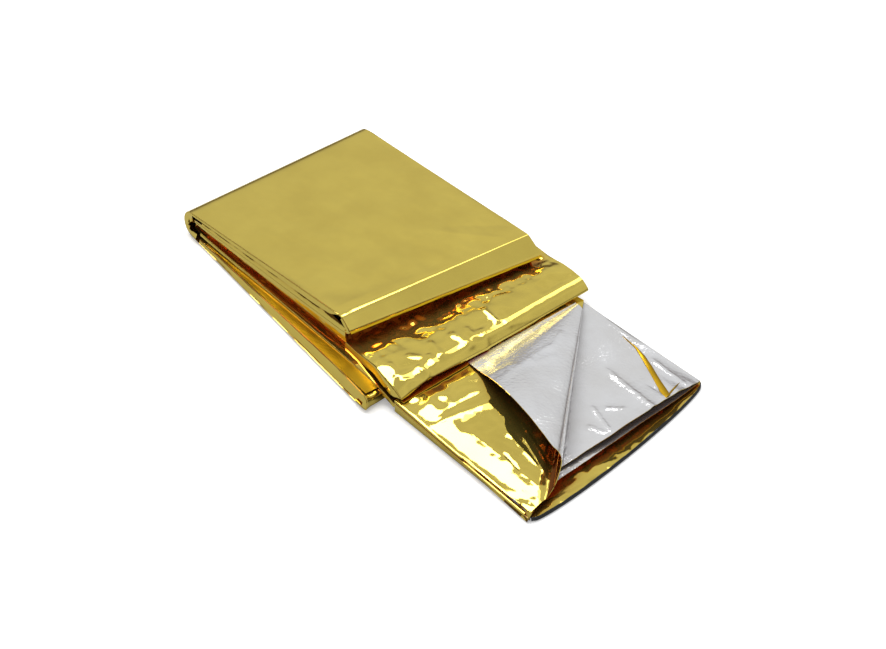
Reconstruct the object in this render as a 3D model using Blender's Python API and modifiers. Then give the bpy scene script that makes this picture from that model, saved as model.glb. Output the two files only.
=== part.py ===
"""Emergency foil blanket, lying half unpacked as a strip folded to and fro.

The film is folded lengthwise to a strip of several plies. The strip runs to and fro in three
tiers that fan out a little and puff at their noses. At its free end the plies stand apart, and
the top one is curled back over itself from a pinch at the strip's far edge.

+X is the way the strip runs out, +Y goes across it to its far edge, and Z = 0 is the surface
it lies on. The tables are in millimetres and give the middle of the wall.
"""

from collections import namedtuple
from math import cos, pi, sin, sqrt

import bmesh
import bpy
from mathutils import Vector

MM = 0.001

# ---------------------------------------------------------------- driving dimensions
STRIP_WALL = 2.0          # the folded strip as one wall
PLY_WALL = 1.0            # a ply that stands apart at the free end
ORIGIN = (-57.8, 116.0)   # table point that becomes the part's origin, under its middle
ACROSS_STEPS = 9          # columns across the strip
ACROSS_CROWDING = 1.4     # above 1, the columns are closer together at the near edge
PLY_STEPS = 8             # columns across a ply
NOSE_STEPS = 7            # segments round a puffed nose and round the rear wrap
TIGHT_STEPS = 4           # segments round a pressed fold
PLY_FOLD_STEPS = 4        # segments round a fold that joins two plies
WELD_DISTANCE = 0.01      # points this near each other are one point

# A fold's middle line: x, then y and z of the walls above and below it.
End = namedtuple("End", "x y_top y_low z_top z_low")

# Folds in order along the strip, from its hidden end to its free end. `side` is 1 for a nose
# and -1 for a fold at the rear, `entry` says which wall the strip comes in by, and the larger
# `ease` is, the nearer to the near edge the fold's near height stays.
Fold = namedtuple("Fold", "name side entry steps near far ease")
FOLDS = (
    Fold("bottom nose", 1, "top", NOSE_STEPS,
         End(-2.5, 5, 1, 13.0, 1.0), End(-2, 203, 199, 6.0, 1.0), 16),
    Fold("rear wrap", -1, "low", NOSE_STEPS,
         End(-276, 29, 26, 25.5, 1.0), End(-270, 231, 230, 26.5, 1.0), 1),
    Fold("top nose", 1, "top", NOSE_STEPS,
         End(-57, 30, 27, 41.0, 28.0), End(-25, 221, 216, 31.0, 22.5), 1),
    Fold("upper rear", -1, "top", TIGHT_STEPS,
         End(-271, 28, 29, 21.0, 17.0), End(-265, 230, 231, 21.5, 17.5), 1),
    Fold("middle nose", 1, "top", NOSE_STEPS,
         End(18, 21, 22, 25.0, 15.0), End(26, 225, 226, 20.0, 12.0), 1),
    Fold("lower rear", -1, "top", TIGHT_STEPS,
         End(-273, 28, 25, 13.0, 9.0), End(-267, 230, 226, 13.5, 9.5), 1),
)

# Lines across the strip between its folds: x, y and z at the near and the far edge.
Line = namedtuple("Line", "near far")
HIDDEN_END = Line((-262, 25, 5.0), (-258, 226, 5.0))
TOP_CREASE = Line((-66, 30, 41.0), (-43, 223, 33.5))
MIDDLE_BEND = Line((-50, 29, 23.2), (-44, 231, 19.6))
OVER_BOTTOM_NOSE = Line((-3, 18.5, 11.5), (-2, 219, 8.8))
OPEN_START = Line((16, 18, 6.8), (22, 217, 4.6))
FREE_END = Line((165, 18, 1.0), (159, 218, 1.0))

# The walls between folds, named for where they lie, with the lines that they bend at on the
# way. Along its near edge a wall may be turned in, by this much at its start and end.
Wall = namedtuple("Wall", "name steps lines turn_start turn_end")
WALLS = (
    Wall("bottom tier upper", 9, (), 1.6, 8.5),
    Wall("bottom tier lower", 8, (), 0, 0),
    Wall("top tier upper", 8, (TOP_CREASE,), 2.0, 8.0),
    Wall("top tier lower", 7, (), 0, 0),
    Wall("middle tier upper", 8, (MIDDLE_BEND,), 2.0, 7.0),
    Wall("middle tier lower", 8, (), 0, 0),
    Wall("run-out", 8, (OVER_BOTTOM_NOSE,), 0, 0),
)
LINE_STEPS = 3            # segments from one line of a wall to the next

# The open end runs from OPEN_START to the front. Its rows are shares of that length, the
# second at the pinch and the third where the curl starts.
OPEN_ROWS = (0, 0.096, 0.17, 0.26, 0.36, 0.48, 0.61, 0.74, 0.87, 1)
FRONT_BOW = 11            # how far the strip's front edge bows forward
LIFT_FROM = 0.5           # share of the open end behind which the plies lie level

# Plies over the strip at its open end: the rise from the strip, then the front edge as
# stations across it: share of the width, x and z.
Ply = namedtuple("Ply", "rise front")
LOWER_PLY = Ply(2.1, ((0, 163, 3.1), (0.2, 159, 3.1), (0.35, 158, 4.5), (0.6, 158, 5.5),
                      (0.85, 160, 4.2), (1, 160, 3.1)))
UPPER_PLY = Ply(3.7, ((0, 164, 4.7), (0.2, 157, 4.8), (0.35, 154, 9.0), (0.6, 152, 12.5),
                      (0.8, 153, 11.5), (0.92, 157, 6.5), (1, 160, 4.7)))
TOP_RISE = 5.3
PLY_NEAR_Y = 18.0
PLY_FAR_Y = 215.5

# The top ply lies flat up to a line from the pinch to its front edge, and beyond that line
# it is part of a cone from the pinch. The curl's own front edge goes over the top and back
# to where it is tucked under the middle nose, and its far part stands clear of the ply.
PINCH = Vector((33, 216, 10.8))
PINCH_CLEARANCE = 1.8
FLAT_FRONT = Vector((163.5, 36, 6.6))
CURL_FRONT = (
    FLAT_FRONT,
    Vector((160, 48, 9)),
    Vector((156, 57, 15)),
    Vector((153, 62, 22)),
    Vector((149, 62, 27)),
    Vector((142, 61, 29)),
    Vector((130, 65, 30)),
    Vector((110, 70, 31)),
    Vector((88, 75, 30)),
    Vector((67, 80, 26)),
    Vector((50, 84, 20)),
    Vector((37, 87, 15)),
    Vector((23, 89, 12.7)),
)
CURL_TURN = 4             # the front edge's point where the curl has come off the flat ply


def blend(first, second, share):
    """Point or number a share of the way from first to second."""
    return first + (second - first) * share


def smooth(value):
    """0 to 1 with level ends, for a value that is cut to that range."""
    held = min(max(value, 0.0), 1.0)
    return held * held * (3 - 2 * held)


# ---------------------------------------------------------------- the strip's path
def line_point(line, share):
    """Point on a line across the strip, a share of the way to its far edge."""
    return blend(Vector(line.near), Vector(line.far), share)


def fold_points(fold, share):
    """Points round one fold, in the strip's order."""
    x, y_top, y_low, z_top, z_low = (blend(n, f, share) for n, f in zip(fold.near, fold.far))
    z_top = blend(fold.far.z_top, fold.near.z_top, (1 - share) ** fold.ease)
    radius = (z_top - z_low) / 2
    middle = (z_top + z_low) / 2
    first = pi / 2 if fold.entry == "top" else -pi / 2
    points = []
    for step in range(fold.steps + 1):
        angle = first * (1 - 2 * step / fold.steps)
        out = fold.side * radius * cos(angle)
        y = blend(y_low, y_top, (sin(angle) + 1) / 2)
        points.append(Vector((x + out, y, middle + radius * sin(angle))))
    return points


def open_point(length, share):
    """Point of the strip's wall at the open end."""
    point = blend(line_point(OPEN_START, share), line_point(FREE_END, share), length)
    point.x += FRONT_BOW * length ** 2 * sqrt(4 * share * (1 - share))
    start_z = blend(OPEN_START.near[2], OPEN_START.far[2], share)
    point.z = blend(start_z, FREE_END.near[2], 1 - (1 - length) ** 2)
    return point


def between(start, stops, steps):
    """Points from the start to the last stop, without either, by way of the other stops."""
    points = []
    for number, stop in enumerate(stops):
        count = steps if number == 0 else LINE_STEPS
        points += [blend(start, stop, step / count) for step in range(1, count)]
        points.append(stop)
        start = stop
    return points[:-1]


def strip_path(share):
    """The strip's whole path at one share of its width, and where each wall's points lie."""
    points = [line_point(HIDDEN_END, share)]
    spans = {}
    for wall, fold in zip(WALLS, FOLDS + (None,)):
        bend = fold_points(fold, share) if fold else [open_point(0, share)]
        stops = [line_point(line, share) for line in wall.lines] + [bend[0]]
        inner = between(points[-1], stops, wall.steps)
        spans[wall.name] = range(len(points), len(points) + len(inner) + 1)
        points += inner + bend
    spans["open end"] = range(len(points) - 1, len(points) - 1 + len(OPEN_ROWS))
    points += [open_point(length, share) for length in OPEN_ROWS[1:]]
    return points, spans


def turned_edge(wall, path, span):
    """Rows of a near edge that is turned in: the edge, and the same edge hanging below it."""
    rows = []
    for number, index in enumerate(span):
        depth = blend(wall.turn_start, wall.turn_end, smooth(number / (len(span) - 1)))
        rows.append([path[index], path[index] - Vector((0, 0, depth))])
    return rows


# ---------------------------------------------------------------- the plies of the open end
def front_station(ply, share):
    """x and z of a ply's front edge at a share of its width."""
    for low, high in zip(ply.front, ply.front[1:]):
        if share <= high[0]:
            part = smooth((share - low[0]) / (high[0] - low[0]))
            return blend(low[1], high[1], part), blend(low[2], high[2], part)


def ply_point(ply, length, share):
    """Point of a ply that lies over the strip and lifts toward its front."""
    base = open_point(length, share)
    front_x, front_z = front_station(ply, share)
    lift = front_z - open_point(1, share).z - ply.rise
    raised = lift * max(0, (length - LIFT_FROM) / (1 - LIFT_FROM)) ** 2
    return Vector((blend(open_point(0, share).x, front_x, length),
                   blend(PLY_NEAR_Y, PLY_FAR_Y, share), base.z + ply.rise + raised))


def top_ply_edge(length):
    """Far end of the flat top ply: its own far edge, then the line from the pinch."""
    start = open_point(0, 1)
    start.y = PINCH.y
    start.z += TOP_RISE
    pinch_length = OPEN_ROWS[1]
    if length <= pinch_length:
        return blend(start, PINCH, length / pinch_length)
    return blend(PINCH, FLAT_FRONT, (length - pinch_length) / (1 - pinch_length))


def top_ply_point(length, share):
    """Point of the flat part of the top ply."""
    near = open_point(length, 0) + Vector((0, 0, TOP_RISE))
    near.y = PLY_NEAR_Y
    return blend(near, top_ply_edge(length), share)


def edge_fold(low, high, side):
    """Points round a fold that joins two plies along an edge, without its ends."""
    middle = (low + high) / 2
    out = Vector((0, side * (high - low).length / 2, 0))
    angles = [pi * step / PLY_FOLD_STEPS for step in range(1, PLY_FOLD_STEPS)]
    return [middle + (low - middle) * cos(angle) + out * sin(angle) for angle in angles]


def zigzag_row(length):
    """One row through the strip's near edge and all the plies over it, to and fro."""
    shares = [step / PLY_STEPS for step in range(PLY_STEPS + 1)]
    lower = [ply_point(LOWER_PLY, length, share) for share in shares]
    upper = [ply_point(UPPER_PLY, length, share) for share in reversed(shares)]
    top = [top_ply_point(length, share) for share in shares]
    row = [open_point(length, 0)]
    row += edge_fold(row[0], lower[0], -1) + lower
    row += edge_fold(lower[-1], upper[0], 1) + upper
    row += edge_fold(upper[-1], top[0], -1) + top
    return row


def curl_row(length):
    """One row of the curl, from the edge of the flat ply to the tucked edge."""
    reach = (length - OPEN_ROWS[1]) / (1 - OPEN_ROWS[1])
    row = []
    for number, front in enumerate(CURL_FRONT):
        clearance = PINCH_CLEARANCE * smooth(number / CURL_TURN)
        row.append(blend(PINCH + Vector((0, 0, clearance)), front, reach))
    row[0] = top_ply_edge(length)
    return row


# ---------------------------------------------------------------- the solid
def add_grid(work, rows, wall, walls):
    """Add a grid of points to the mesh, and note the wall that its new vertices carry."""
    lengthwise = len(rows) - 1
    crosswise = len(rows[0]) - 1
    grid = bmesh.ops.create_grid(work, x_segments=lengthwise, y_segments=crosswise, size=1)
    for vertex in grid["verts"]:
        row = round((vertex.co.x + 1) / 2 * lengthwise)
        column = round((vertex.co.y + 1) / 2 * crosswise)
        point = rows[row][column]
        vertex.co = Vector((point.x - ORIGIN[0], point.y - ORIGIN[1], point.z)) * MM
        vertex[walls] = wall / STRIP_WALL


def blanket_mesh():
    """The whole blanket as one open sheet, and the wall of each of its points."""
    work = bmesh.new()
    walls = work.verts.layers.float.new("wall")
    shares = [(column / ACROSS_STEPS) ** ACROSS_CROWDING for column in range(ACROSS_STEPS + 1)]
    columns = [strip_path(share) for share in shares]
    near_path, spans = columns[0]
    add_grid(work, list(zip(*(points for points, _ in columns))), STRIP_WALL, walls)
    for wall in WALLS:
        if wall.turn_end:
            add_grid(work, turned_edge(wall, near_path, spans[wall.name]), STRIP_WALL, walls)
    add_grid(work, [zigzag_row(length) for length in OPEN_ROWS], PLY_WALL, walls)
    add_grid(work, [curl_row(length) for length in OPEN_ROWS[2:]], PLY_WALL, walls)
    bmesh.ops.remove_doubles(work, verts=work.verts, dist=WELD_DISTANCE * MM)
    bmesh.ops.recalc_face_normals(work, faces=work.faces)
    mesh = bpy.data.meshes.new("blanket")
    work.to_mesh(mesh)
    work.free()
    return mesh


def blanket(material):
    """The blanket as one solid."""
    mesh = blanket_mesh()
    mesh.materials.append(material)
    piece = bpy.data.objects.new("blanket", mesh)
    group = piece.vertex_groups.new(name="wall")
    for vertex, share in zip(mesh.vertices, mesh.attributes["wall"].data):
        group.add([vertex.index], share.value, 'REPLACE')
    solid = piece.modifiers.new("wall", 'SOLIDIFY')
    solid.thickness = STRIP_WALL * MM
    solid.offset = 0
    solid.use_even_offset = True
    solid.vertex_group = group.name
    return piece


def gold_film():
    """Gold metallised film."""
    colour = (0.83, 0.62, 0.16, 1)
    material = bpy.data.materials.new("gold_film")
    material.use_nodes = True
    shader = material.node_tree.nodes["Principled BSDF"]
    shader.inputs["Base Color"].default_value = colour
    shader.inputs["Metallic"].default_value = 1.0
    shader.inputs["Roughness"].default_value = 0.18
    material.diffuse_color = colour
    return material


def build():
    """Clear the scene and make the blanket."""
    for item in list(bpy.data.objects):
        bpy.data.objects.remove(item, do_unlink=True)
    collection = bpy.data.collections.new("emergency_foil_blanket")
    bpy.context.scene.collection.children.link(collection)
    collection.objects.link(blanket(gold_film()))


build()
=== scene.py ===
"""Looks of the emergency foil blanket: gold and silver film on the folds of its CAD solid.

Two pieces make it. `folded_strip` is the film folded lengthwise and laid to and fro in three
tiers, and `open_end` is where its plies stand apart and the top one is curled back.
The tables are in millimetres: x runs to the open end, y across the strip to its far edge, and
z up from the surface. They give the middle of the wall.
"""

from collections import namedtuple
from math import cos, pi, radians, sin, sqrt

import bmesh
import bpy
import numpy as np
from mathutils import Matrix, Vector

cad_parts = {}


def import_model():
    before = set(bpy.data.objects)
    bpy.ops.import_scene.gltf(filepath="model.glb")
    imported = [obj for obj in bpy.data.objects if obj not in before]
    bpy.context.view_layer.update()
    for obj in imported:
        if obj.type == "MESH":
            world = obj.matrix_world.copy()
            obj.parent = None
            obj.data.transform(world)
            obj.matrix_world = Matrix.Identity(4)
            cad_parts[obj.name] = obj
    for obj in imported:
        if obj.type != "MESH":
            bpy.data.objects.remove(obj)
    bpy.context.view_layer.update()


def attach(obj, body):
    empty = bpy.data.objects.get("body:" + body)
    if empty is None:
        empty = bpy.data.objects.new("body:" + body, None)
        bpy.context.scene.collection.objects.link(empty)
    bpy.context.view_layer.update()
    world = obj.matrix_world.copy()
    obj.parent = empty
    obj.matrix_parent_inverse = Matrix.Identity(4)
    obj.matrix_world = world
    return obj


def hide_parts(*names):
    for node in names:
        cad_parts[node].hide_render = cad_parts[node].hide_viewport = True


MM = 0.001
ORIGIN = (-57.8, 116)  # table point that is the frame's origin

# ---- sizes of the folded strip
STRIP_WALL = 1.5  # a wall of the strip, all its plies together
LIP_WALL = 0.5  # film turned down over an edge
STRIP_COLUMNS = 104
STRIP_WIDTH = 200
EDGE_HELD = 3  # width along the edges where relief fades out
SMOOTHING = 3  # passes that round the bends along the strip

# Lines across the strip, in order along it from its hidden end. Each gives its near and far
# point, and the segments to the next line. `ease` above 1 keeps the near point's height near
# the near edge. `turn` is where the strip goes round a nose or a rear fold to the next line:
# 1 is a half circle to the front and -1 one to the rear, and a smaller number is flatter.
Line = namedtuple("Line", "name near far steps ease turn", defaults=(1, 0))
STRIP = (
    Line("hidden end", (-262, 25, 5), (-258, 226, 5), 14),
    Line("bottom nose back", (-60, 10, 11.2), (-60, 208, 6), 16, 9),
    Line("bottom nose top", (-2.5, 3, 12.4), (-2, 203, 6), 12, 9, 0.5),
    Line("bottom nose low", (-1.5, 0, 1), (-2, 199, 1), 12),
    Line("wrap low", (-276, 26, 1), (-270, 230, 1), 18, 1, -1),
    Line("wrap top", (-276, 29, 25.5), (-270, 231, 26.5), 46),
    Line("top flat", (-100, 30, 38.5), (-92, 224, 32.6), 16),
    Line("top crinkle", (-77, 30, 40.2), (-62, 223.5, 33.2), 8),
    Line("top crease", (-66, 30, 41), (-43, 223, 33.5), 6),
    Line("top roll", (-62, 30, 40), (-42, 223, 33.32), 12),
    Line("top nose edge", (-51.9, 30, 30.4), (-21.7, 220, 24.1), 3),
    Line("top nose under", (-56, 28.5, 28), (-26, 218, 22.5), 4),
    Line("top under", (-70, 28.5, 27.6), (-40, 218.5, 22.4), 8),
    Line("upper rear top", (-271, 28, 21), (-265, 230, 21.5), 6, 1, -1),
    Line("upper rear low", (-271, 29, 17), (-265, 231, 17.5), 14),
    Line("middle start", (-90, 29, 17.8), (-60, 231, 17.6), 14),
    Line("middle bend", (-58, 29, 17.4), (-34, 231, 17.4), 4),
    Line("middle hollow", (-45, 28.2, 16.6), (-23, 230, 17), 16),
    Line("middle rise", (-14, 24.5, 24.9), (-5, 228, 20.9), 8),
    Line("middle crown", (-2, 22, 26.1), (9, 227, 21.2), 12),
    Line("middle crest", (10, 20.5, 26.1), (18, 226, 20.9), 6),
    Line("middle shoulder", (15.5, 20, 24.6), (23, 225.5, 19.4), 10),
    Line("middle nose edge", (22.2, 19.8, 16.8), (29.2, 225.5, 13.4), 4),
    Line("middle nose under", (17, 20.5, 14.9), (25, 226, 11.9), 6),
    Line("middle under", (-30, 27, 14.2), (-20, 227, 12.4), 4),
    Line("middle inside", (-51, 32, 14.2), (-40, 227, 12.6), 8),
    Line("lower rear top", (-273, 33, 14), (-267, 230, 13.5), 6, 1, -1),
    Line("lower rear low", (-273, 28, 10.2), (-267, 226, 9.5), 10),
    Line("run-out bend", (-60, 22, 11.2), (-60, 221, 9), 4),
    Line("over bottom nose", (-3, 18.5, 11.5), (-2, 219, 8.8), 10),
    Line("open start", (16, 18, 6.8), (22, 217, 4.6), 0),
)

# Where a line is pushed out of the straight: most at y `full`, and not at all past `start` and
# `stop`.
Push = namedtuple("Push", "line start full stop x z")
PUSHES = (
    Push("middle hollow", 0, 18, 32, 0, 1.8),
    Push("middle rise", 0, 18, 32, 0, -2.6),
    Push("middle crown", 0, 18, 31, 0, -3.6),
    Push("middle crest", 0, 18, 30, 0, -3.8),
    Push("middle shoulder", 0, 18, 30, 0, -3.4),
    Push("middle nose edge", 0, 18, 28, 0, -1),
    Push("middle nose edge", 24, 48, 108, -0.6, 3.4),
    Push("middle nose under", 22, 48, 110, -3, 1.6),
)

# Film that turns over an edge of the strip and inward, between lines of the strip: how far its
# fold stands out, the power of its curve, the height of its crumples and its number of plies.
# `sizes` has lines with its depth there (below 0 where it turns outward) and its lean outward.
Lip = namedtuple("Lip", "side fold curve crumple plies sizes")
LIPS = (
    Lip("near", 0.3, 1.5, 0.35, 1, (("hidden end", 3.6, 0.3), ("bottom nose back", 9, 3.9),
        ("bottom nose top", 10.6, 2.8))),
    Lip("near", 0.4, 1.5, 0.5, 1, (("bottom nose top", 4, 0.4), ("bottom nose low", 4, 0.4))),
    Lip("near", 0.3, 1.5, 0.15, 1, (("bottom nose low", 1.6, 0.3), ("wrap low", 1.2, 0.3))),
    Lip("near", 0.5, 1.5, 1.6, 1, (("wrap low", 8, 0.2), ("wrap top", 9, 0.2))),
    Lip("near", 0.3, 1, 0.15, 1, (("wrap top", 1.5, 0.3), ("top flat", 5, 1.1),
        ("top crinkle", 4.4, 1), ("top crease", 0.3, 0.1))),
    Lip("near", 0.3, 1.5, 0.6, 1, (("top roll", 2, 0.1), ("top nose edge", 3, 0.1),
        ("top nose under", 2, 0.1))),
    Lip("near", 0, 2, 0.2, 1, (("top nose under", 3, -1), ("top under", 6.6, -3.2),
        ("upper rear top", 3.8, -2))),
    Lip("near", 0.2, 1, 0.2, 1, (("top nose under", -5.8, 0.9), ("upper rear top", -2, 0.3))),
    Lip("near", 0, 1, 0.15, 1, (("upper rear low", -2, -0.3), ("middle start", -3.2, -0.5),
        ("middle bend", -3.6, -0.5))),
    Lip("near", 0.1, 1, 0.15, 1, (("middle bend", 6, 0.9), ("middle hollow", 6.5, 1.5),
        ("middle rise", 6.6, 2.1), ("middle crest", 6.8, 2.8), ("middle shoulder", 6, 2.5),
        ("middle nose edge", 2.5, 1), ("middle nose under", 1.5, 0.5))),
    Lip("near", 0, 1, 0.9, 1, (("middle inside", 3, 0.5), ("lower rear top", 3, 0.5))),
    Lip("near", 0, 1, 0.9, 1, (("middle inside", -3, 0.5), ("lower rear top", -3, 0.5))),
    Lip("near", 0.2, 1, 0.1, 1, (("lower rear low", 1.8, 0.6), ("open start", 2.4, 0.8))),
    Lip("far", 0.5, 1.5, 0.3, 2, (("hidden end", 1.6, 1), ("bottom nose top", 3, 1))),
    Lip("far", 0.5, 1.5, 0.3, 1, (("bottom nose top", 2, 0.3), ("bottom nose low", 2, 0.3),
        ("wrap low", 1.2, 0.3))),
    Lip("far", 0.5, 1.5, 0.8, 1, (("wrap low", 6, 0.3), ("wrap top", 6, 0.3))),
    Lip("far", 0.5, 1.5, 0.25, 3, (("wrap top", 1, 0.8), ("top flat", 6, 0.8),
        ("top nose edge", 4, 0.8), ("top nose under", 3, 0.8))),
    Lip("far", 0.5, 1.5, 0.25, 2, (("upper rear low", 1, 0.8), ("middle crest", 4.5, 0.8),
        ("middle nose edge", 3, 0.8), ("middle nose under", 2, 0.8))),
    Lip("far", 0.5, 1.5, 0.1, 1, (("lower rear low", 1, 0.4), ("open start", 2, 0.4))),
)
LIP_COLUMNS = 10
LIP_CROWDING = 1.5  # above 1, a lip's columns are closer together at the edge
LIP_ROUNDING = 4  # the larger, the sooner its fold has its full roundness
LIP_SHORTENING = 2.5  # its crumples are this much shorter down the lip than along it
LIP_STEP = 4  # length of a lip's segments along the edge
PLY_BULGE = 0.3  # how far each ply in a lip stands out


# ---- sizes of the open end
PLY_WALL = 0.45
OPEN_ROWS = 120
OPEN_START = (Vector(STRIP[-1].near), Vector(STRIP[-1].far))
FREE_END = (Vector((165, 18, 2.9)), Vector((159, 218, 2.8)))
FRONT_BOW = 9  # how far the lowest ply's front edge bows forward

# Where something starts to grow and over which length. Below 0 it fades.
Growth = namedtuple("Growth", "start length")

# How far the lowest ply dips behind its front border: it deepens and rises over shares of the
# open end, and fades to its edges over shares of its width.
DIP = 2.3
DIP_GROWTH = Growth(0.6, 0.2)
DIP_RISE = 0.065
DIP_NEAR_FADE = 0.125
DIP_FAR_FADE = 0.25

# Where the lowest ply is out of the dip: share of its width, and of the open end.
DIP_END = ((0, 0.95), (0.11, 0.963), (0.195, 0.98), (0.265, 1), (0.33, 1),
           (0.37, 0.985), (0.45, 0.99), (0.52, 1), (0.71, 1), (1, 0.99))
PLY_NEAR_Y = 18.0
PLY_FAR_Y = 215.5
PINCH_LENGTH = 0.096  # share of the open end where the pinch is
CURL_LENGTH = 0.16  # and where the curl starts
LOWEST_COLUMNS = 52
LOWER_COLUMNS = 14
UPPER_COLUMNS = 128
TOP_COLUMNS = 104
EDGE_SEGMENTS = 6  # round a fold between two plies
SKIRT_SEGMENTS = 6  # down the turned border of the lowest ply
SKIRT_COLUMNS = 60
SKIRT_SIDE = 0.6  # how far the border stands out at its sides
SKIRT_FRONT = 1.2  # and at its front
FOOT = 0.4  # height where film that turns down to the floor ends
GAP_GROWTH = Growth(0.5, 0.1)  # shares of the open end where the top ply's near edge opens
GAP_BULGE = 2.5  # how far its fold then bulges in, in half heights

# A ply's rise from the strip, and its front edge across the strip: share, x and z.
Ply = namedtuple("Ply", "rise lift_from front")
LOWER_PLY = Ply(2.1, 0.5, ((0, 160, 4.8), (0.18, 155, 5.4), (0.38, 157, 6.2), (0.59, 158.6, 6.4),
                           (0.89, 160.6, 5.6), (1, 160, 4.8)))
UPPER_PLY = Ply(3.7, 0.5, ((0, 160, 6.2), (0.12, 151, 6.6), (0.24, 149.6, 8),
                           (0.33, 151.5, 9.5), (0.52, 155.1, 12), (0.76, 157.9, 12.6),
                           (0.86, 159, 11.8), (0.94, 160, 8.5), (1, 160, 6.2)))
TOP_RISE = 5.3
CROWN = (0.4, 2.5)  # height of the top ply's crown, near the strip and at the front
CROWN_GROWTH = Growth(26, 14)  # along x
CROWN_NEAR_FADE = 18  # width over which it fades to the near edge
CROWN_FAR_FADE = 14  # and to the far one

# The curl is a cone from the pinch. Its front edge goes over the top and back, to where it is
# tucked under the middle nose.
PINCH = Vector((33, 216, 10.8))
PINCH_CLEARANCE = 1.8
CURL_FRONT = (
    (163.5, 36, 9), (160.5, 47, 11), (156.5, 56, 16), (153, 61.5, 22), (149, 62.5, 27),
    (142, 62, 29.5), (130, 65, 30.5), (110, 70, 31), (88, 75, 30), (67, 80, 26), (50, 84, 20),
    (37, 87, 15), (23, 89, 12.7),
)
FLAT_FRONT = Vector(CURL_FRONT[0])
CURL_TURN = 4  # the front edge's point where the curl has come off the flat ply
CURL_STEPS = 5  # columns from one point of the front edge to the next

# A fold of the upper ply where its gold side shows, as points along it with their half widths.
Tuck = namedtuple("Tuck", "x y width")
TUCKS = (
    (Tuck(84, 208.5, 0.1), Tuck(100, 206.8, 0.9), Tuck(112, 202.5, 2), Tuck(124, 196.5, 2.6),
     Tuck(138, 188.5, 2.8), Tuck(149, 182.5, 3.3), Tuck(157.5, 178.5, 2.8)),
    (Tuck(157, 179.5, 1.2), Tuck(154.5, 188, 3.4), Tuck(152.5, 196, 1.8), Tuck(152, 202, 0.1)),
)
TUCK_HEIGHT = 0.7
TUCK_STEPS = 5  # rows from one point of a tuck to the next
TUCK_SIDES = (1, 0.5, 0, -0.5, -1)
TUCK_TOP = 1.5  # of its middle, in tuck heights; its sides are 1 lower
TUCK_WALL = 0.2

# The pleated hem at the near front corner, from its top line to its foot.
HEM = (((94, 18.2), (165, 22)), ((94, 18.6), (165, 14.7)))
HEM_ROWS = 60
HEM_COLUMNS = 10
HEM_LIFT = 0.35  # how far its top line lies over the top ply
HEM_BELLY = 0.7  # below 1, it bulges out on its way down
HEM_WISP = 6  # the smaller, the longer its crumples are down the hem

# Regions of the pieces. The open end's points carry their region as their place.
(PLAIN, LOWEST, LOWER, UPPER, TOP, CURL, FOLD, SKIRT, BORDER, TUCK, NOSE, LOW,
 GAP) = range(13)

# ---- creases and crumples
# A crease runs from x0, y0 to x1, y1. It lifts the film by `height` at its line and fades over
# `width`, and `lean` makes one flank wider than the other.
Crease = namedtuple("Crease", "x0 y0 x1 y1 height width lean", defaults=(0,))
CREASE_END = 0.25  # share of its length over which it fades at each end
CREASE_END_HEIGHT = 0.3  # how far up that fade its very end is
CREASE_SHARPNESS = 1.6
TOP_TIER_CREASES = (
    Crease(-75, 28, -62, 120, 0.3, 8),
    Crease(-120, 150, -48, 205, 0.4, 12),
    Crease(-150, 60, -80, 80, 0.3, 16),
    Crease(-100, 175, -60, 222, -0.3, 9),
    Crease(-96, 90, -66, 60, 0.25, 7),
)
MIDDLE_TIER_CREASES = (
    Crease(11, 116, 30, 107, 0.9, 4, 0.3),
    Crease(26, 167, 16, 108, 0.6, 5),
    Crease(-3, 92, 20, 97, 1.5, 5),
    Crease(-9, 33.5, 10, 28, 1.1, 4),
    Crease(-6, 48, 5, 57, 1.4, 3.5),
    Crease(-7, 74, 15, 69.5, 1.7, 4),
    Crease(12, 27, 20, 42, 0.7, 2.5, 0.3),
    Crease(9, 46.5, 21, 49.5, 1.4, 3.5),
    Crease(4, 62, 18, 60, 1.3, 3),
    Crease(0, 108, 16, 104, 0.7, 3),
    Crease(-8, 134, 15, 131, 1.9, 4),
    Crease(6, 142, 22, 138, 0.6, 2.5, 0.3),
)
TOP_PLY_CREASES = (
    Crease(50, 28, 56, 75, -0.8, 2.5),
    Crease(55, 21, 68, 72, 0.9, 4, 0.4),
    Crease(75, 39, 115, 39, 0.6, 5),
    Crease(115, 39, 158, 38, 0.5, 4),
    Crease(112, 42, 134, 39, -0.9, 1.5),
    Crease(85, 70, 97, 60, 0.7, 3),
    Crease(97, 76, 141, 60, 0.7, 2.5, 0.4),
    Crease(96, 60, 141, 52, 0.7, 2.5, 0.4),
    Crease(104, 68, 150, 50, 0.6, 2),
    Crease(72, 82, 150, 61, -2, 20),
)
UPPER_PLY_CREASES = (
    Crease(99, 169.5, 166, 159.5, 1.7, 5.5),
    Crease(120, 130, 153, 117.5, 1.3, 3),
    Crease(130, 134, 144, 146, 0.9, 2.6),
    Crease(134, 110.5, 151, 114.5, 0.9, 3),
    Crease(134, 181, 154, 179, -0.9, 2),
    Crease(60, 214, 104, 211, 0.7, 4),
    Crease(116, 206, 160, 201, 1.5, 5),
    Crease(70, 190, 120, 150, 0.3, 9),
)
CURL_CREASES = (
    Crease(50, 74, 57, 110, 0.8, 3, 0.3),
    Crease(61, 150, 64, 80, 0.7, 3, 0.3),
    Crease(67, 116, 73, 140, 0.5, 3),
    Crease(53, 167, 66, 139, 0.6, 4),
    Crease(80, 100, 120, 70, 0.4, 9),
    Crease(60, 180, 100, 110, 0.4, 10),
)

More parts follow.
